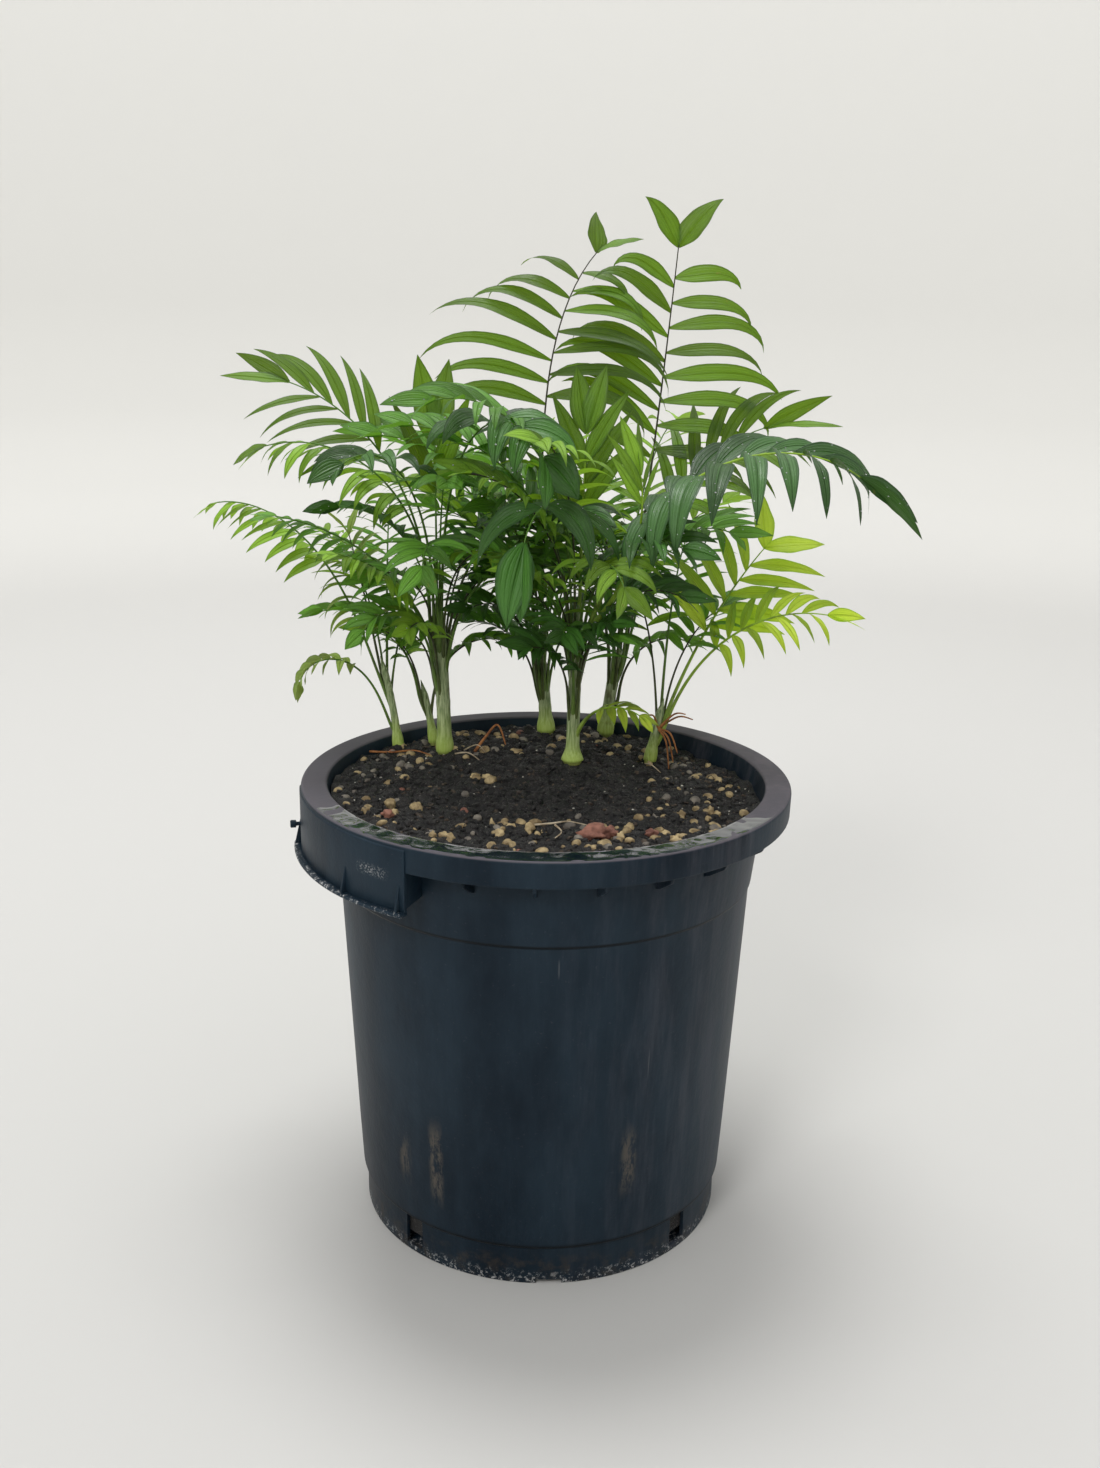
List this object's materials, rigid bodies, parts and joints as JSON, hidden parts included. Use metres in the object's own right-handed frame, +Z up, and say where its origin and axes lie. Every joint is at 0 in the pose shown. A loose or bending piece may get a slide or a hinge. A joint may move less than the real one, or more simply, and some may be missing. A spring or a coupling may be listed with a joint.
{
  "type": "potted parlour palm",
  "caption": "Young parlour palm, a clump of slim stems with feathery fronds, in a round black plastic nursery pot filled with soil.",
  "frame": {"origin": "middle of the pot's underside, on the ground", "axes": "+Z up along the pot's axis, +X towards the viewer's right, +Y away from the viewer, with the carrying handles to the left front and right back"},
  "size_m": [0.49, 0.4685, 0.6906],
  "materials": {
    "pot": "moulded, slightly shiny, dusty",
    "soil": "damp, coarse, crumbly",
    "stems": "smooth, pale green",
    "fronds": "leathery, slightly shiny"
  },
  "bodies": {
    "root": {"pot": "pot", "soil": "soil", "stem_left": "stems", "stem_front_left": "stems", "stem_side_shoot": "stems", "stem_back": "stems", "stem_centre": "stems", "stem_back_right": "stems", "stem_right": "stems", "frond_left_1": "fronds", "frond_left_2": "fronds", "frond_left_3": "fronds", "frond_left_4": "fronds", "frond_front_left_1": "fronds", "frond_front_left_2": "fronds", "frond_front_left_3": "fronds", "frond_front_left_4": "fronds", "frond_front_left_5": "fronds", "frond_front_left_6": "fronds", "frond_front_left_7": "fronds", "frond_front_left_8": "fronds", "frond_front_left_9": "fronds", "frond_front_left_10": "fronds", "frond_side_shoot_1": "fronds", "frond_side_shoot_2": "fronds", "frond_back_1": "fronds", "frond_back_2": "fronds", "frond_back_3": "fronds", "frond_back_4": "fronds", "frond_back_5": "fronds", "frond_back_6": "fronds", "frond_back_7": "fronds", "frond_back_8": "fronds", "frond_centre_1": "fronds", "frond_centre_2": "fronds", "frond_centre_3": "fronds", "frond_centre_4": "fronds", "frond_centre_5": "fronds", "frond_centre_6": "fronds", "frond_centre_7": "fronds", "frond_centre_8": "fronds", "frond_centre_9": "fronds", "frond_centre_10": "fronds", "frond_centre_11": "fronds", "frond_back_right_1": "fronds", "frond_back_right_2": "fronds", "frond_back_right_3": "fronds", "frond_back_right_4": "fronds", "frond_back_right_5": "fronds", "frond_back_right_6": "fronds", "frond_back_right_7": "fronds", "frond_right_1": "fronds", "frond_right_2": "fronds", "frond_right_3": "fronds"}
  },
  "joints": []
}
